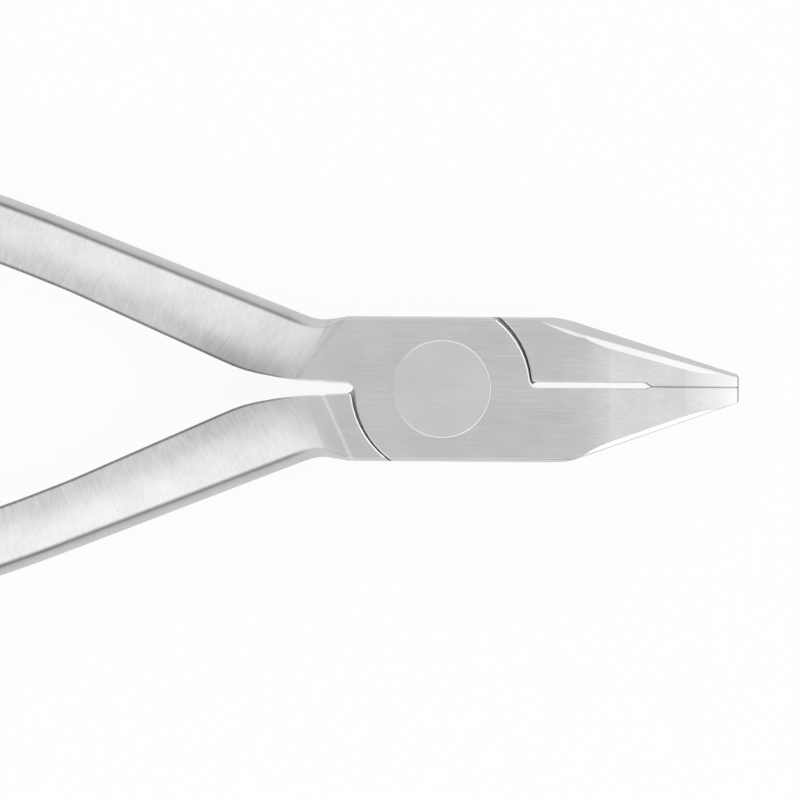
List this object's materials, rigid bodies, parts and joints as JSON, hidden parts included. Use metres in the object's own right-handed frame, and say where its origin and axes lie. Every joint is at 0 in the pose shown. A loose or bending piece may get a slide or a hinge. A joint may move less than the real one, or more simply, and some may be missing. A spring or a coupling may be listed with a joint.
{
  "type": "orthodontic pliers",
  "caption": "Lap-jointed steel pliers with short tapered beaks that meet at the tips and long bowed handles, for gripping and bending orthodontic wire.",
  "frame": {"origin": "on the rivet's axis, in the plane of the joint's back face", "axes": "+X along the beaks towards the tips, +Y towards the front half's handle, +Z out of the front face"},
  "size_m": [0.13, 0.048, 0.008],
  "materials": {
    "forged_steel": "ground and brushed on the joint and beaks, satin on the handles",
    "rivet_steel": "ground flush with the joint and brushed with it"
  },
  "bodies": {
    "front": {"front_half": "forged_steel", "joint_rivet": "rivet_steel"},
    "rear": {"rear_half": "forged_steel"}
  },
  "joints": [
    {"name": "joint_hinge", "type": "hinge", "parent": "front", "child": "rear", "pos_m": [0, 0, 0.004], "axis": [0, 0, 1], "range_deg": [0, 70]}
  ]
}
